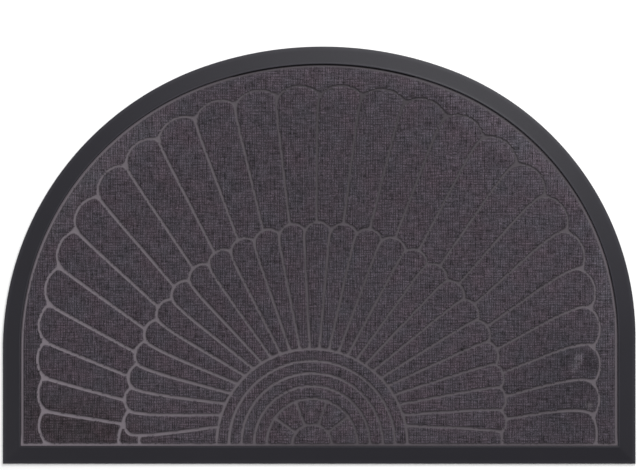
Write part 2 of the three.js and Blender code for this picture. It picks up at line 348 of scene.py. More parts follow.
# Threads that run across and along, over and under each other
def threadWeaveGroup():
    tree, given = newGroup(
        "threadWeave", "ShaderNodeTree",
        [("Vector", "Vector"), ("Across", "Float", 0.00324), ("Along", "Float", 0.00357),
         ("Wander", "Float", 0.0004), ("Wander size", "Float", 0.011),
         ("Thread length", "Float", 0.018), ("Thread width", "Float", 0.0026)],
        [("Height", "Float"), ("Pore", "Float"), ("Streak", "Float")])
    often = mathNode(tree, "DIVIDE", 1.0, given["Wander size"])
    wander = addNode(tree, "ShaderNodeTexNoise", {"Vector": given["Vector"], "Scale": often, "Detail": 2.0})
    centred = vectorNode(tree, "SUBTRACT", wander.outputs["Color"], (0.5, 0.5, 0.5))
    moved = scaledColour(tree, centred, given["Wander"])
    place = vectorNode(tree, "ADD", given["Vector"], moved)
    axes = addNode(tree, "ShaderNodeSeparateXYZ", {0: place})
    waves = []
    for axis, pitch in ((0, "Across"), (1, "Along")):
        turns = mathNode(tree, "DIVIDE", axes.outputs[axis], given[pitch])
        wave = mathNode(tree, "COSINE", mathNode(tree, "MULTIPLY", turns, 2 * math.pi))
        waves.append(mathNode(tree, "MULTIPLY_ADD", wave, 0.5, 0.5))
    height = mathNode(tree, "MULTIPLY", waves[0], waves[1])
    pore = mathNode(tree, "SUBTRACT", 1.0, mathNode(tree, "MAXIMUM", waves[0], waves[1]))
    streaks = []
    for x, y in (("Thread length", "Thread width"), ("Thread width", "Thread length")):
        stretch = addNode(tree, "ShaderNodeCombineXYZ", {0: given[x], 1: given[y], 2: 1.0}).outputs[0]
        drawn = vectorNode(tree, "DIVIDE", given["Vector"], stretch)
        noise = addNode(tree, "ShaderNodeTexNoise", {"Vector": drawn, "Scale": 1.0, "Detail": 1.0})
        streaks.append(noise.outputs["Fac"])
    streak = mathNode(tree, "SUBTRACT", mathNode(tree, "ADD", streaks[0], streaks[1]), 1.0)
    addNode(tree, "NodeGroupOutput", {"Height": height, "Pore": pore, "Streak": streak})
    return tree


# A soft-edged oval: 1 inside, 0 outside
def softPatchGroup():
    tearSwing = 4.0  # the noise stays near its middle, so this widens it
    tree, given = newGroup(
        "softPatch", "ShaderNodeTree",
        [("Vector", "Vector"), ("Centre", "Vector"), ("Half", "Vector"), ("Turn", "Float", 0.0),
         ("Ragged", "Float", 0.3), ("Edge", "Float", 0.5), ("Tear size", "Float", 0.0038)],
        [("Mask", "Float")])
    turned = addNode(tree, "ShaderNodeVectorRotate", {"Vector": given["Vector"], "Center": given["Centre"],
                                                      "Angle": given["Turn"]}, rotation_type="Z_AXIS")
    away = vectorNode(tree, "SUBTRACT", turned.outputs[0], given["Centre"])
    sized = vectorNode(tree, "DIVIDE", away, given["Half"])
    flat = vectorNode(tree, "MULTIPLY", sized, (1, 1, 0))
    reach = addNode(tree, "ShaderNodeVectorMath", {0: flat}, operation="LENGTH").outputs["Value"]
    often = mathNode(tree, "DIVIDE", 1.0, given["Tear size"])
    noise = addNode(tree, "ShaderNodeTexNoise", {"Vector": given["Vector"], "Scale": often, "Detail": 3.0})
    torn = mathNode(tree, "MULTIPLY", mathNode(tree, "SUBTRACT", noise.outputs["Fac"], 0.5), given["Ragged"])
    ragged = mathNode(tree, "MULTIPLY_ADD", torn, tearSwing, reach)
    outer = mathNode(tree, "ADD", 1.0, given["Edge"])
    inner = mathNode(tree, "SUBTRACT", 1.0, given["Edge"])
    mask = addNode(tree, "ShaderNodeMapRange", {"Value": ragged, "From Min": outer, "From Max": inner},
                   interpolation_type="SMOOTHSTEP")
    addNode(tree, "NodeGroupOutput", {"Mask": mask.outputs["Result"]})
    return tree


toneDrift = toneDriftGroup()
softPatch = softPatchGroup()
fineGrain = fineGrainGroup()
threadWeave = threadWeaveGroup()


def placeGroup(tree, group, inputs):
    return addNode(tree, "ShaderNodeGroup", inputs, node_tree=group)


# A material whose shader has the given fixed values
def newMaterial(name, fixedValues):
    material = bpy.data.materials.new(name)
    material.use_nodes = True
    tree = material.node_tree
    tree.nodes.clear()
    shader = addNode(tree, "ShaderNodeBsdfPrincipled", fixedValues)
    addNode(tree, "ShaderNodeOutputMaterial", {"Surface": shader.outputs[0]})
    return material, tree, shader


def mixColour(tree, factor, one, two):
    inputs = {0: factor, 6: one, 7: two}  # the mix node's sockets for its factor and its two colours
    return addNode(tree, "ShaderNodeMix", inputs, data_type="RGBA").outputs[2]


def bumpFrom(tree, height, sizes):
    return addNode(tree, "ShaderNodeBump", {"Height": height, **sizes}).outputs[0]


def attributeNode(tree, name):
    return addNode(tree, "ShaderNodeAttribute", attribute_name=name).outputs["Fac"]


# Rubber base: a backing sheet with a raised, bevelled border
rubberBase = {
    "section": [(0.5, 0), (0.15, 0.15), (0, 0.5), (0, 2.0), (0.12, 2.5), (0.4, 2.85), (0.9, 3.1), (1.5, 3.25),
                (6, 3.87), (12, 4.7), (18, 5.5), (21.6, 6.0), (22.3, 6.12), (22.9, 6.38), (23.4, 6.5),
                (24.0, 6.52), (24.5, 6.48), (24.85, 6.3), (25, 5.9), (25, 4.0), (25, 2.0)],
    "step": 3.0,
    # Painted highlight on the rounded outer edge and along the lip, where the edges catch the light
    "edgeHighlightAt": [(0, 0.0), (0.1, 0.8), (0.9, 0.9), (2.6, 0.0), (21.6, 0.0), (23.0, 0.4), (24.4, 0.45),
               (25, 0.1)],
    "highlightAbove": 1,  # nothing lower on the section gets the painted highlight
    # The mitre at each end of the straight edge: a shallow line in the border's top
    "seam": {"depth": 0.12, "above": 3, "within": 24},
    "colour": (0.0095, 0.0086, 0.0134, 1),
    "highlightColour": (0.027, 0.026, 0.033, 1),
    "roughness": (0.42, 0.56),
    "drift": {"Size": 0.05, "Amount": 0.25},
    # noise that breaks up the painted highlight
    "highlightNoise": {"Size": 0.008, "Amount": 1.2},
    "grain": {"Size": 0.0007},
    "bump": {"Strength": 0.35, "Distance": 0.0002},
    "fixed": {"Specular IOR Level": 0.28},
}


def rubberMaterial():
    material, tree, shader = newMaterial("charcoalRubber", rubberBase["fixed"])
    place = tree.nodes.new("ShaderNodeTexCoord").outputs["Object"]
    drift = placeGroup(tree, toneDrift, {"Vector": place, **rubberBase["drift"]})
    highlightNoise = placeGroup(tree, toneDrift, {"Vector": place, **rubberBase["highlightNoise"]})
    grain = placeGroup(tree, fineGrain, {"Vector": place, **rubberBase["grain"]})
    # Painted highlight along the edges, broken up by noise
    highlightShare = mathNode(tree, "MULTIPLY", attributeNode(tree, "edgeHighlight"), highlightNoise.outputs["Tone"])
    colour = mixColour(tree, highlightShare, rubberBase["colour"], rubberBase["highlightColour"])
    tree.links.new(scaledColour(tree, colour, drift.outputs["Tone"]), shader.inputs["Base Color"])
    low, high = rubberBase["roughness"]
    rough = mathNode(tree, "MULTIPLY_ADD", grain.outputs["Height"], high - low, low)
    tree.links.new(rough, shader.inputs["Roughness"])
    tree.links.new(bumpFrom(tree, grain.outputs["Height"], rubberBase["bump"]), shader.inputs["Normal"])
    return material


def buildRubberBase():
    section = rubberBase["section"]
    step = rubberBase["step"]
    rings = [toFrame(outlineAt(inset, step), height) for inset, height in section]
    count = len(rings[0])
    corner = math.ceil(2 * matOutline["halfWidth"] / step)
    mesh = bmesh.new()
    highlightLayer = mesh.verts.layers.float.new("edgeHighlight")
    insets, highlightShares = zip(*rubberBase["edgeHighlightAt"])
    seam = rubberBase["seam"]
    loops = []
    for ring, (inset, height) in zip(rings, section):
        loop = [mesh.verts.new(point) for point in ring]
        for vert in loop:
            onTop = height > rubberBase["highlightAbove"]
            vert[highlightLayer] = float(np.interp(inset, insets, highlightShares)) if onTop else 0.0
        if height > seam["above"] and inset < seam["within"]:
            for index in (0, corner):
                loop[index].co.z -= seam["depth"] * milli
        loops.append(loop)
    for low, high in zip(loops, loops[1:]):
        for i in range(count):
            j = (i + 1) % count
            mesh.faces.new([low[i], low[j], high[j], high[i]])
    mesh.faces.new(list(reversed(loops[0])))
    mesh.faces.new(loops[-1])
    for low, high in zip(loops, loops[1:]):
        for index in (0, corner):
            mesh.edges.get([low[index], high[index]]).smooth = False
    for face in mesh.faces:
        face.smooth = len(face.verts) == 4
    data = bpy.data.meshes.new("rubberBase")
    mesh.to_mesh(data)
    mesh.free()
    piece = bpy.data.objects.new("rubberBase", data)
    bpy.context.scene.collection.objects.link(piece)
    finishPiece(piece, rubberMaterial())
    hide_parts("rubber_base")
    return piece


rubberPiece = buildRubberBase()
print("rubber base:", len(rubberPiece.data.polygons), "faces")

# Carpet inlay: one sheet, its pads rounded and its grooves and rim pressed flat
carpetInlay = {
    "edge": 25.3, "underside": 2.3, "pressed": 4.4, "pileTop": 6.0,
    "floorHalf": (0.6, 1.1),  # of a groove, where it has none of the painted highlight and where it has the most
    "wallRun": 2.1, "steepRun": 0.9,  # the band outside the fan drops steeply
    "rimFloor": 28.3, "rimRun": 2.4,
    "crown": 0.5, "crownReach": 8,  # the pads swell by this much, that far from a groove
    "reach": 11,  # a groove farther away than this doesn't count
    "webs": {"blend": (0.9, 2.4), "fromHub": (320, 370)},  # where grooves meet, larger round the outer ring
    "groovePitch": 2.6, "rows": [0, 0.9, 1.35, 1.9, 2.5, 3.2, 4.4],
    # Beside the lip the carpet dips, but not along the straight edge
    "edgeDip": (25.9, 27.0), "dipDepth": 1.5, "dipAbove": (28, 45),
    "edgeRows": [25.9, 26.5, 27.1, 27.9, 28.4, 29.1, 29.8, 30.6, 31.8],
    "gridPitch": 4.4, "gridClear": 5.6, "sameWithin": 0.42,
    # Painted shadow across the rim beside the lip and just outside the scallop line, where walls shade the
    # floor
    "rimShadow": (26.4, 28.0), "rimEnd": (30.0, 31.5), "scallopShadow": (0.1, 0.6, 1.8, 2.8),
    "tuftsAbove": 0.83,  # the share of a wall's height above which tufts stand
    "tuftsOutOf": 0.25,  # how strong the painted shadow is where they end
    # The ground between the tufts is painted darker than they are, as shade in the gaps
    "shadedGroundColour": (0.041, 0.034, 0.041),
    "tuftColour": (0.0618, 0.0496, 0.0634),
    "warmTint": (1.07, 0.96, 0.99), "coolTint": (0.93, 1.04, 1.04),
    "tintDrift": {"Size": 0.03, "Amount": 1.9},
    "drift": {"Size": 0.09, "Amount": 0.3},
    # The groove floors' colour without painted highlight, and with all of it
    "pressedDim": (0.0400, 0.0345, 0.0400, 1),
    "pressedHighlit": (0.198, 0.172, 0.195, 1),
    "rimHighlight": 0.12,  # the rim has at least this share of the painted highlight
    # the colour of the painted shadow
    "shadowColour": (0.004, 0.003, 0.004, 1),
    "streakAmount": 1.5,
    "weaveTone": 1.05, "poreShade": -0.5,  # of the ground, and the painted shade a pore adds to it
    "lint": {"Size": 0.0011}, "lintHeight": 0.3,
    "roughness": 0.92, "pressedRoughness": 0.57,
    "bump": {"Strength": 0.9, "Distance": 0.0006},
    "fixed": {"Sheen Weight": 0.1, "Sheen Roughness": 0.5, "Specular IOR Level": 0.15},
    "cutStep": 2.0,  # between the points of the line along which the sheet is cut
    # Painted highlight on the groove floors: its share at the middle, and how much it grows for each metre
    # to the left of it and towards the straight edge
    "grooveHighlight": {"middle": 0.105, "left": 1.56, "down": 0.8, "most": 0.86},
    # How strong the painted shadow is at the middle, and how much stronger for each metre along x and y,
    # towards the light
    "shade": {"middle": 0.45, "along": (0.3, 1.6, 0)},
    "scallopShade": 0.7,
}

# The values of a mark below that gives none of its own: edge is how soft its rim is, ragged how torn
usualMark = {"turn": 0.0, "edge": 0.7, "ragged": 0.1}

# Where the grooves' painted highlight is stronger or weaker than elsewhere, in metres on the mat
grooveHighlightMarks = [
    {"at": (-0.01, -0.262), "half": (0.12, 0.08), "edge": 0.5, "ragged": 0.0, "amount": -0.14},
    {"at": (0.44, -0.06), "half": (0.08, 0.22), "edge": 0.6, "ragged": 0.0, "amount": 0.25},
    {"at": (0.0, 0.19), "half": (0.30, 0.10), "edge": 0.6, "ragged": 0.0, "amount": 0.07},
    {"at": (0.31, 0.12), "half": (0.11, 0.13), "edge": 0.6, "ragged": 0.0, "amount": 0.07},
    {"at": (-0.01, -0.165), "half": (0.055, 0.045), "edge": 0.6, "ragged": 0.0, "amount": 0.16},
    {"at": (0.06, 0.03), "half": (0.17, 0.035), "edge": 0.6, "ragged": 0.0, "amount": 0.08},
]

# Marks of use, in metres on the mat. amount is how far the pile's colour goes to the tinted one
useMarks = [
    {"at": (0.3665, -0.152), "half": (0.0065, 0.0155), "turn": 0.42, "edge": 0.35, "ragged": 0.25,
     "tint": (2.40, 2.60, 2.40), "amount": 0.5},
    {"at": (0.384, -0.214), "half": (0.0055, 0.0055), "ragged": 0.2, "tint": (2.20, 2.30, 2.00),
     "amount": 0.5},
    {"at": (0.386, -0.152), "half": (0.010, 0.020), "ragged": 0.2, "tint": (0.40, 0.42, 0.43),
     "amount": 0.45},
    {"at": (0.350, -0.150), "half": (0.010, 0.014), "edge": 0.8, "ragged": 0.2, "tint": (0.40, 0.42, 0.43),
     "amount": 0.35},
    {"at": (0.345, -0.185), "half": (0.06, 0.06), "edge": 0.8, "tint": (0.50, 0.60, 0.61), "amount": 0.42},
    {"at": (-0.345, -0.245), "half": (0.09, 0.035), "turn": 0.2, "edge": 0.8, "ragged": 0.2,
     "tint": (0.37, 0.31, 0.23), "amount": 0.45},
    {"at": (0.0, 0.12), "half": (0.20, 0.14), "edge": 0.9, "tint": (0.41, 0.43, 0.42), "amount": 0.2},
    {"at": (0.33, 0.16), "half": (0.10, 0.07), "turn": 0.8, "edge": 0.9, "tint": (1.40, 1.50, 1.46),
     "amount": 0.17},
    {"at": (0.268, 0.172), "half": (0.024, 0.13), "turn": -0.88, "edge": 0.6, "tint": (1.42, 1.50, 1.46),
     "amount": 0.55},
    {"at": (-0.276, 0.158), "half": (0.024, 0.085), "turn": 0.86, "edge": 0.6, "tint": (1.40, 1.48, 1.42),
     "amount": 0.55},
    {"at": (-0.411, -0.168), "half": (0.018, 0.055), "edge": 0.6, "tint": (0.50, 0.49, 0.47), "amount": 0.4},
    {"at": (-0.365, 0.085), "half": (0.025, 0.10), "turn": 0.5, "tint": (1.40, 1.50, 1.40), "amount": 0.5},
    {"at": (0.06, 0.250), "half": (0.14, 0.022), "tint": (1.40, 1.50, 1.40), "amount": 0.15},
    {"at": (-0.05, -0.225), "half": (0.22, 0.06), "edge": 0.8, "tint": (1.49, 1.48, 1.42), "amount": 0.23},
    {"at": (0.408, 0.01), "half": (0.018, 0.17), "tint": (1.32, 1.44, 1.39), "amount": 0.6},
]


# How softly neighbouring grooves run together at each point
def webBlend(points):
    webs = carpetInlay["webs"]
    away = np.linalg.norm(points - np.array(fan["hub"]), axis=1)
    return np.interp(away, webs["fromHub"], webs["blend"])


# Distance of each point from the nearest of some lines, blended where two are about as near
def grooveDistance(points, lines, reach):
    blend = webBlend(points)
    total = np.exp(-reach / blend)
    for line in lines:
        low, high = line.min(0) - reach, line.max(0) + reach
        near = np.nonzero(np.all((points > low) & (points < high), axis=1))[0]
        best = np.full(len(near), np.inf)
        for start, end in zip(line, line[1:]):
            run = end - start
            away = points[near] - start
            share = np.clip(away @ run / (run @ run), 0, 1)
            best = np.minimum(best, np.linalg.norm(away - share[:, None] * run, axis=1))
        total[near] += np.exp(-best / blend[near])
    return np.maximum(-blend * np.log(total), 0)


def smoothStep(values, low, high):
    share = np.clip((values - low) / (high - low), 0, 1)
    return share * share * (3 - 2 * share)


# Which points lie within a closed line
def isWithin(points, line):
    x, y = points[:, 0], points[:, 1]
    within = np.zeros(len(points), bool)
    for start, end in zip(line, np.roll(line, -1, axis=0)):
        if start[1] != end[1]:
            crossed = (start[1] > y) != (end[1] > y)
            within ^= crossed & (x < start[0] + (y - start[1]) * (end[0] - start[0]) / (end[1] - start[1]))
    return within


# The share of painted highlight on the groove floor at each point, from 0 to 1
def grooveHighlightShare(points):
    grooveHighlight = carpetInlay["grooveHighlight"]
    x, y, _ = toFrame(points, 0).T
    return np.clip(grooveHighlight["middle"] + grooveHighlight["left"] * np.maximum(-x, 0) - grooveHighlight["down"] * y, 0, grooveHighlight["most"])


# The top's height at each point, and masks of what is pressed, in painted shadow, on the rim or bare of tufts
def carpetHeights(points, grooves, scallops):
    reach = carpetInlay["reach"]
    away = grooveDistance(points, grooves, reach)
    inset = insetOf(points)
    outerBand = ~isWithin(points, scallops)
    narrow, wide = carpetInlay["floorHalf"]
    wall = narrow + (wide - narrow) * grooveHighlightShare(points)
    run = np.where(outerBand, carpetInlay["steepRun"], carpetInlay["wallRun"])
    rimFloor = carpetInlay["rimFloor"]
    blend = webBlend(points)
    webbed = -blend * np.log(np.exp(-away / blend) + np.exp((rimFloor - wall - inset) / blend))
    up = smoothStep(away, wall, wall + run) * smoothStep(inset, rimFloor, rimFloor + carpetInlay["rimRun"])
    up *= smoothStep(webbed, wall, wall + run)
    swell = smoothStep(np.minimum(away, inset - rimFloor + wall), wall, carpetInlay["crownReach"])
    rise = carpetInlay["pileTop"] - carpetInlay["pressed"]
    # Painted shadow just outside the scallop line and across the rim beside the lip
    first, full, fading, last = carpetInlay["scallopShadow"]
    beside = grooveDistance(points, [scallops], reach)
    paintedShadow = outerBand * smoothStep(beside, first, full) * (1 - smoothStep(beside, fading, last))
    paintedShadow *= carpetInlay["scallopShade"]
    paintedShadow = np.maximum(paintedShadow, 1 - smoothStep(inset, *carpetInlay["rimShadow"]))
    bare = np.maximum(up < carpetInlay["tuftsAbove"], paintedShadow > carpetInlay["tuftsOutOf"])
    dip = 1 - smoothStep(inset, *carpetInlay["edgeDip"])
    dip *= smoothStep(points[:, 1], *carpetInlay["dipAbove"])
    heights = carpetInlay["pressed"] + rise * up + carpetInlay["crown"] * swell
    heights -= carpetInlay["dipDepth"] * dip
    rim = 1 - smoothStep(inset, *carpetInlay["rimEnd"])
    return heights, {"pressed": 1 - up, "paintedShadow": paintedShadow, "rim": rim, "bare": bare.astype(float)}


def carpetPoints(grooves):
    edge = outlineAt(carpetInlay["edge"], carpetInlay["groovePitch"])
    inner = [outlineAt(inset, carpetInlay["groovePitch"]) for inset in carpetInlay["edgeRows"]]
    for groove in grooves:
        line = spaced(groove, carpetInlay["groovePitch"])
        along = np.gradient(line, axis=0)
        along /= np.linalg.norm(along, axis=1)[:, None]
        across = np.column_stack([-along[:, 1], along[:, 0]])
        for row in carpetInlay["rows"]:
            inner.append(line + across * row)
            if row:
                inner.append(line - across * row)
    inner = np.concatenate(inner)
    pitch = carpetInlay["gridPitch"]
    half = matOutline["halfWidth"]
    rowPitch = pitch * math.sqrt(3) / 2
    grid = []
    for row in range(int(matOutline["top"] / rowPitch)):
        x = np.arange(-half + pitch / 2 * (row % 2), half, pitch)
        grid.append(np.column_stack([x, np.full(len(x), row * rowPitch)]))
    grid = np.concatenate(grid)
    clear = grooveDistance(grid, grooves, carpetInlay["crownReach"]) > carpetInlay["gridClear"]
    grid = grid[clear & (insetOf(grid) > carpetInlay["edgeRows"][-1] + pitch / 2)]
    inner = np.concatenate([inner, grid])
    inner = inner[insetOf(inner) > carpetInlay["edge"] + carpetInlay["sameWithin"]]
    cells = np.floor(inner / carpetInlay["sameWithin"]).astype(np.int64)
    _, first = np.unique(cells, axis=0, return_index=True)
    return edge, inner[np.sort(first)]


# Where a mark lies: 1 within it, 0 outside
def markMask(tree, place, mark):
    mark = {**usualMark, **mark}
    return placeGroup(tree, softPatch, {
        "Vector": place, "Centre": (*mark["at"], 0), "Half": (*mark["half"], 1), "Turn": mark["turn"],
        "Edge": mark["edge"], "Ragged": mark["ragged"]}).outputs["Mask"]


# The given colour with the marks of use and a slow drift over it
def usedColour(tree, place, colour):
    for mark in useMarks:
        share = mathNode(tree, "MULTIPLY", markMask(tree, place, mark), mark["amount"])
        colour = mixColour(tree, share, colour, vectorNode(tree, "MULTIPLY", colour, mark["tint"]))
    tint = placeGroup(tree, toneDrift, {"Vector": place, **carpetInlay["tintDrift"]})
    warm = vectorNode(tree, "MULTIPLY", colour, carpetInlay["warmTint"])
    cool = vectorNode(tree, "MULTIPLY", colour, carpetInlay["coolTint"])
    colour = mixColour(tree, mathNode(tree, "SUBTRACT", tint.outputs["Tone"], 0.5), warm, cool)
    drift = placeGroup(tree, toneDrift, {"Vector": place, **carpetInlay["drift"]})
    return scaledColour(tree, colour, drift.outputs["Tone"])


def carpetMaterial():
    material, tree, shader = newMaterial("charcoalPile", carpetInlay["fixed"])
    place = tree.nodes.new("ShaderNodeTexCoord").outputs["Object"]
    pressed = attributeNode(tree, "pressed")
    weave = placeGroup(tree, threadWeave, {"Vector": place})
    lint = placeGroup(tree, fineGrain, {"Vector": place, **carpetInlay["lint"]})
    weaveTone, poreShade = carpetInlay["weaveTone"], carpetInlay["poreShade"]
    # Painted shade in the weave's pores
    pore = mathNode(tree, "MULTIPLY_ADD", weave.outputs["Pore"], poreShade, weaveTone)
    thread = mathNode(tree, "MULTIPLY_ADD", weave.outputs["Streak"], carpetInlay["streakAmount"], pore)
    pile = usedColour(tree, place, scaledColour(tree, carpetInlay["shadedGroundColour"], thread))
    # Painted highlight: groove floors go from the dim colour to the highlit one towards the lower left and at
    # the marks
    highlightAt = carpetInlay["grooveHighlight"]
    axes = addNode(tree, "ShaderNodeSeparateXYZ", {0: place})
    leftwards = mathNode(tree, "MAXIMUM", mathNode(tree, "MULTIPLY", axes.outputs["X"], -1.0), 0.0)
    grooveHighlight = mathNode(tree, "MULTIPLY_ADD", leftwards, highlightAt["left"], highlightAt["middle"])
    grooveHighlight = mathNode(tree, "MULTIPLY_ADD", axes.outputs["Y"], -highlightAt["down"], grooveHighlight)
    for mark in grooveHighlightMarks:
        grooveHighlight = mathNode(tree, "MULTIPLY_ADD", markMask(tree, place, mark), mark["amount"], grooveHighlight)
    grooveHighlight = mathNode(tree, "MINIMUM", mathNode(tree, "MAXIMUM", grooveHighlight, 0.0), highlightAt["most"])
    rim = mathNode(tree, "MULTIPLY", attributeNode(tree, "rim"), carpetInlay["rimHighlight"])
    grooveHighlight = mathNode(tree, "MAXIMUM", grooveHighlight, rim)
    floorColour = mixColour(tree, grooveHighlight, carpetInlay["pressedDim"], carpetInlay["pressedHighlit"])
    topColour = mixColour(tree, pressed, pile, floorColour)
    # Painted shadow: stronger towards the upper right, where the light comes from
    along = addNode(tree, "ShaderNodeVectorMath", {0: place, 1: carpetInlay["shade"]["along"]},
                    operation="DOT_PRODUCT").outputs["Value"]
    shade = addNode(tree, "ShaderNodeMath", {0: along, 1: carpetInlay["shade"]["middle"]}, operation="ADD",
                    use_clamp=True).outputs[0]
    dark = mathNode(tree, "MULTIPLY", attributeNode(tree, "paintedShadow"), shade)
    tree.links.new(mixColour(tree, dark, topColour, carpetInlay["shadowColour"]), shader.inputs["Base Color"])
    smoother = carpetInlay["pressedRoughness"] - carpetInlay["roughness"]
    rough = mathNode(tree, "MULTIPLY_ADD", pressed, smoother, carpetInlay["roughness"])
    tree.links.new(rough, shader.inputs["Roughness"])
    woven = mathNode(tree, "MULTIPLY", weave.outputs["Height"], mathNode(tree, "SUBTRACT", 1.0, pressed))
    height = mathNode(tree, "MULTIPLY_ADD", lint.outputs["Height"], carpetInlay["lintHeight"], woven)
    tree.links.new(bumpFrom(tree, height, carpetInlay["bump"]), shader.inputs["Normal"])
    return material


def buildCarpetInlay(grooves, scallops):
    edge, inner = carpetPoints(grooves)
    points = np.concatenate([edge, inner])
    count = len(edge)
    flat = [Vector(point) for point in points]
    border = [(i, (i + 1) % count) for i in range(count)]
    insideOnly, nearness = 1, 1e-6
    made, _, faces, *_ = delaunay_2d_cdt(flat, border, [list(range(count))], insideOnly, nearness)
    plan = np.array([tuple(point) for point in made])
    heights, masks = carpetHeights(plan, grooves, scallops)
    print("carpet points:", len(plan), "triangles:", len(faces))
    top = toFrame(plan, heights)
    below = toFrame(plan[:count], carpetInlay["underside"])
    total = len(plan)
    skirt = [(i, total + i, total + (i + 1) % count, (i + 1) % count) for i in range(count)]
    underside = [tuple(range(total + count - 1, total - 1, -1))]
    data = bpy.data.meshes.new("carpetInlay")
    data.from_pydata(np.concatenate([top, below]).tolist(), [], [tuple(f) for f in faces] + skirt + underside)
    data.update()
    for name, values in masks.items():
        layer = data.attributes.new(name, "FLOAT", "POINT")
        layer.data.foreach_set("value", np.concatenate([values, np.ones(count)]).astype(np.float32))
    data.polygons.foreach_set("use_smooth", [True] * (len(data.polygons) - 1) + [False])
    piece = bpy.data.objects.new("carpetInlay", data)
    bpy.context.scene.collection.objects.link(piece)
    finishPiece(piece, carpetMaterial())
    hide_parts("carpet_inlay")
    return piece


petalGrooves, scallops = fanGrooves()
carpetPiece = buildCarpetInlay(petalGrooves + hubGrooves(), scallops)

# Pile: rows of short tufts over the pads, one piece for each third of the mat
pileTufts = {
    "pieces": ["pileTuftsLeft", "pileTuftsMiddle", "pileTuftsRight"],
    "columns": 87, "rows": 152,  # in each piece
    "across": 0.00324, "along": 0.00357,
    "size": 0.0031, "taper": 0.55, "height": 0.0006, "sunk": 0.00035,
    "wander": 0.0005, "turn": 0.2, "unevenness": 0.3, "stretch": 0.42, "bareShare": 0.05, "bareLimit": 0.5,
    "dropFrom": 0.02,  # where the tufts start before they are set down on the carpet
    "darkest": 0.82, "lightest": 1.10, "seed": 7,
    "lint": {"Size": 0.0009}, "lintTone": 0.5, "evenTone": 0.75,
    "bump": {"Strength": 0.8, "Distance": 0.0004},
    "fixed": {"Roughness": 0.9, "Sheen Weight": 0.1, "Sheen Roughness": 0.5, "Specular IOR Level": 0.3},
}

# The tree's inputs that the settings feed
tuftInputs = [
    ("Columns", "Int", "columns"), ("Rows", "Int", "rows"), ("Across", "Float", "across"),
    ("Along", "Float", "along"), ("Size", "Float", "size"), ("Taper", "Float", "taper"),
    ("Height", "Float", "height"), ("Sunk", "Float", "sunk"), ("Wander", "Float", "wander"),
    ("Drop from", "Float", "dropFrom"), ("Turn", "Float", "turn"), ("Unevenness", "Float", "unevenness"),
    ("Stretch", "Float", "stretch"), ("Bare share", "Float", "bareShare"),
    ("Bare limit", "Float", "bareLimit"), ("Darkest", "Float", "darkest"), ("Lightest", "Float", "lightest"),
]


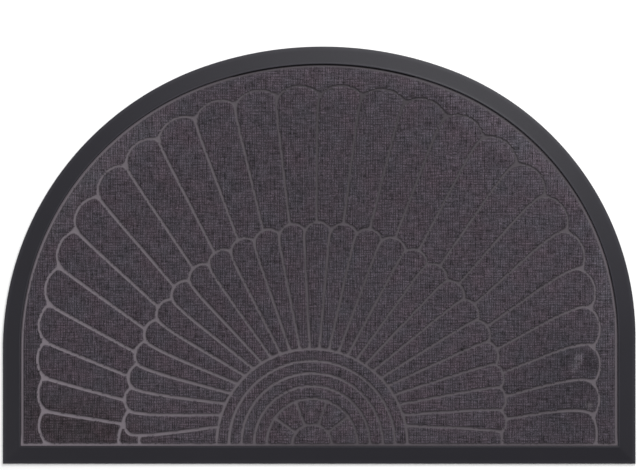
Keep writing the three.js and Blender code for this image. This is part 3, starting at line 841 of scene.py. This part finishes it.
def pileTuftsTree():
    inputs = [("Carpet", "Object"), ("Left", "Float"), ("Low", "Float"), ("Seed", "Int"),
              ("Material", "Material")]
    inputs += [(name, kind) for name, kind, _ in tuftInputs]
    tree, given = newGroup("pileTufts", "GeometryNodeTree", inputs, [("Geometry", "Geometry")])

    def span(count, pitch):
        return mathNode(tree, "MULTIPLY", mathNode(tree, "SUBTRACT", count, 1.0), pitch)

    def middle(start, count, pitch):
        return mathNode(tree, "MULTIPLY_ADD", mathNode(tree, "MULTIPLY", count, 0.5), pitch, start)

    # A random value for each point, between low and high; places keeps the draws apart
    def draw(low, high, places):
        seed = mathNode(tree, "ADD", given["Seed"], places)
        value = addNode(tree, "FunctionNodeRandomValue", {2: low, 3: high, "Seed": seed}, data_type="FLOAT")
        return value.outputs[1]

    def joined(x, y, z):
        return addNode(tree, "ShaderNodeCombineXYZ", {0: x, 1: y, 2: z}).outputs[0]

    grid = addNode(tree, "GeometryNodeMeshGrid", {
        "Size X": span(given["Columns"], given["Across"]), "Size Y": span(given["Rows"], given["Along"]),
        "Vertices X": given["Columns"], "Vertices Y": given["Rows"]}).outputs["Mesh"]
    back = mathNode(tree, "MULTIPLY", given["Wander"], -1.0)
    shiftX = mathNode(tree, "ADD", middle(given["Left"], given["Columns"], given["Across"]),
                      draw(back, given["Wander"], 1.0))
    shiftY = mathNode(tree, "ADD", middle(given["Low"], given["Rows"], given["Along"]),
                      draw(back, given["Wander"], 2.0))
    start = joined(shiftX, shiftY, given["Drop from"])
    above = addNode(tree, "GeometryNodeSetPosition", {"Geometry": grid, "Offset": start})

    carpet = addNode(tree, "GeometryNodeObjectInfo", {"Object": given["Carpet"]}).outputs["Geometry"]
    bareMask = addNode(tree, "GeometryNodeInputNamedAttribute", {"Name": "bare"}, data_type="FLOAT")
    ray = addNode(tree, "GeometryNodeRaycast", {
        "Target Geometry": carpet, "Attribute": bareMask.outputs[0], "Ray Direction": (0, 0, -1),
        "Ray Length": given["Drop from"]}, data_type="FLOAT")
    missed = addNode(tree, "FunctionNodeBooleanMath", {0: ray.outputs["Is Hit"]}, operation="NOT").outputs[0]
    onFloor = mathNode(tree, "GREATER_THAN", ray.outputs["Attribute"], given["Bare limit"])
    bare = mathNode(tree, "LESS_THAN", draw(0.0, 1.0, 3.0), given["Bare share"])
    noTuft = mathNode(tree, "ADD", mathNode(tree, "ADD", missed, onFloor), bare)
    kept = addNode(tree, "GeometryNodeDeleteGeometry", {"Geometry": above.outputs[0], "Selection": noTuft})
    sunk = joined(0.0, 0.0, mathNode(tree, "MULTIPLY", given["Sunk"], -1.0))
    rooted = addNode(tree, "GeometryNodeSetPosition", {"Geometry": kept.outputs[0], "Offset": sunk,
                                                       "Position": ray.outputs["Hit Position"]})

    wide = mathNode(tree, "MULTIPLY", given["Size"], math.sqrt(0.5))  # a square's corners from its middle
    cone = addNode(tree, "GeometryNodeMeshCone", {
        "Vertices": 4, "Radius Bottom": wide, "Radius Top": mathNode(tree, "MULTIPLY", wide, given["Taper"]),
        "Depth": given["Height"]}, fill_type="NGON").outputs["Mesh"]
    square = addNode(tree, "GeometryNodeTransform", {"Geometry": cone, "Rotation": (0, 0, math.pi / 4)})
    smooth = addNode(tree, "GeometryNodeSetShadeSmooth", {"Geometry": square.outputs[0]})
    less = mathNode(tree, "SUBTRACT", 1.0, given["Unevenness"])
    more = mathNode(tree, "ADD", 1.0, given["Unevenness"])
    longer = draw(mathNode(tree, "MULTIPLY", given["Stretch"], -1.0), given["Stretch"], 4.0)
    wider = mathNode(tree, "SUBTRACT", 1.0, longer)
    scale = joined(mathNode(tree, "ADD", 1.0, longer), wider, draw(less, more, 6.0))
    turn = joined(0.0, 0.0, draw(mathNode(tree, "MULTIPLY", given["Turn"], -1.0), given["Turn"], 7.0))
    tufts = addNode(tree, "GeometryNodeInstanceOnPoints", {"Points": rooted.outputs[0], "Scale": scale,
                                                           "Instance": smooth.outputs[0], "Rotation": turn})
    tone = draw(given["Darkest"], given["Lightest"], 8.0)
    toned = addNode(tree, "GeometryNodeStoreNamedAttribute", {
        "Geometry": tufts.outputs[0], "Name": "tuftTone", "Value": tone},
        data_type="FLOAT", domain="INSTANCE")
    real = addNode(tree, "GeometryNodeRealizeInstances", {"Geometry": toned.outputs[0]})
    done = addNode(tree, "GeometryNodeSetMaterial", {
        "Geometry": real.outputs[0], "Material": given["Material"]})
    addNode(tree, "NodeGroupOutput", {"Geometry": done.outputs[0]})
    return tree


def tuftMaterial():
    material, tree, shader = newMaterial("charcoalTufts", pileTufts["fixed"])
    place = tree.nodes.new("ShaderNodeTexCoord").outputs["Object"]
    lint = placeGroup(tree, fineGrain, {"Vector": place, **pileTufts["lint"]}).outputs["Height"]
    streak = placeGroup(tree, threadWeave, {"Vector": place}).outputs["Streak"]
    fibre = mathNode(tree, "MULTIPLY_ADD", lint, pileTufts["lintTone"], pileTufts["evenTone"])
    thread = mathNode(tree, "MULTIPLY_ADD", streak, carpetInlay["streakAmount"], fibre)
    shade = mathNode(tree, "MULTIPLY", attributeNode(tree, "tuftTone"), thread)
    colour = usedColour(tree, place, scaledColour(tree, carpetInlay["tuftColour"], shade))
    tree.links.new(colour, shader.inputs["Base Color"])
    tree.links.new(bumpFrom(tree, lint, pileTufts["bump"]), shader.inputs["Normal"])
    return material


# A plain mesh from a tree and the values of its inputs
def grownMesh(name, tree, values):
    piece = bpy.data.objects.new(name, bpy.data.meshes.new(name))
    bpy.context.scene.collection.objects.link(piece)
    modifier = piece.modifiers.new(tree.name, "NODES")
    modifier.node_group = tree
    for socket in tree.interface.items_tree:
        if socket.in_out == "INPUT":
            modifier[socket.identifier] = values[socket.name]
    bpy.context.view_layer.update()
    evaluated = piece.evaluated_get(bpy.context.evaluated_depsgraph_get())
    made = bpy.data.meshes.new_from_object(evaluated)
    piece.modifiers.remove(modifier)
    empty = piece.data
    piece.data = made
    bpy.data.meshes.remove(empty)
    made.name = name
    return piece


def buildPileTufts(carpet):
    tree = pileTuftsTree()
    material = tuftMaterial()
    width = pileTufts["columns"] * pileTufts["across"]
    pieces = []
    for index, name in enumerate(pileTufts["pieces"]):
        values = {title: pileTufts[key] for title, _, key in tuftInputs}
        values |= {"Carpet": carpet, "Left": (index - len(pileTufts["pieces"]) / 2) * width,
                   "Low": -pileTufts["rows"] / 2 * pileTufts["along"], "Seed": pileTufts["seed"] + index,
                   "Material": material}
        piece = grownMesh(name, tree, values)
        print(name + ":", len(piece.data.polygons), "faces")
        finishPiece(piece, material)
        pieces.append(piece)
    return pieces


tuftPieces = buildPileTufts(carpetPiece)

# Floor, light and camera
studio = {
    "floorSize": 8.0,
    "floor": {"Base Color": (0.95, 0.95, 0.95, 1), "Roughness": 0.9},
    "worldColour": (1, 1, 1, 1),
    "worldStrength": 0.45,
    "imageWidth": 0.9108,  # metres across the picture, on the mat
    "centre": (0.0011, 0.0286),
    "lens": 240,  # long, so that the picture is nearly a plan
    "farthest": 50,
    "lamps": [
        {"name": "softKey", "at": (0.9, 1.6, 1.3), "towards": (0, 0.0, 0), "size": (1.0, 0.7), "power": 34},
        {"name": "softTop", "at": (0.4, 0.9, 2.4), "towards": (0, 0, 0), "size": (1.4, 0.8), "power": 26},
        {"name": "softFill", "at": (-0.9, -0.5, 2.2), "towards": (0, 0, 0), "size": (0.8, 0.8), "power": 5},
    ],
}


def buildStudio():
    scene = bpy.context.scene
    half = studio["floorSize"] / 2
    data = bpy.data.meshes.new("floor")
    corners = [(-half, -half, 0), (half, -half, 0), (half, half, 0), (-half, half, 0)]
    data.from_pydata(corners, [], [(0, 1, 2, 3)])
    floor = bpy.data.objects.new("floor", data)
    scene.collection.objects.link(floor)
    data.materials.append(newMaterial("paleFloor", studio["floor"])[0])
    world = bpy.data.worlds.new("studio")
    world.use_nodes = True
    background = world.node_tree.nodes["Background"]
    background.inputs["Color"].default_value = studio["worldColour"]
    background.inputs["Strength"].default_value = studio["worldStrength"]
    scene.world = world
    for lamp in studio["lamps"]:
        light = bpy.data.lights.new(lamp["name"], "AREA")
        light.shape = "RECTANGLE"
        light.size, light.size_y = lamp["size"]
        light.energy = lamp["power"]
        holder = bpy.data.objects.new(lamp["name"], light)
        holder.location = lamp["at"]
        aim = Vector(lamp["towards"]) - Vector(lamp["at"])
        holder.rotation_euler = aim.to_track_quat("-Z", "Y").to_euler()
        scene.collection.objects.link(holder)
    lens = bpy.data.cameras.new("camera")
    lens.lens = studio["lens"]
    lens.clip_end = studio["farthest"]
    camera = bpy.data.objects.new("camera", lens)
    height = studio["imageWidth"] / 2 * studio["lens"] / (lens.sensor_width / 2)
    camera.location = (studio["centre"][0], studio["centre"][1], height)
    scene.collection.objects.link(camera)
    scene.camera = camera
    scene.view_settings.view_transform = "Standard"


buildStudio()
print("studio ready")
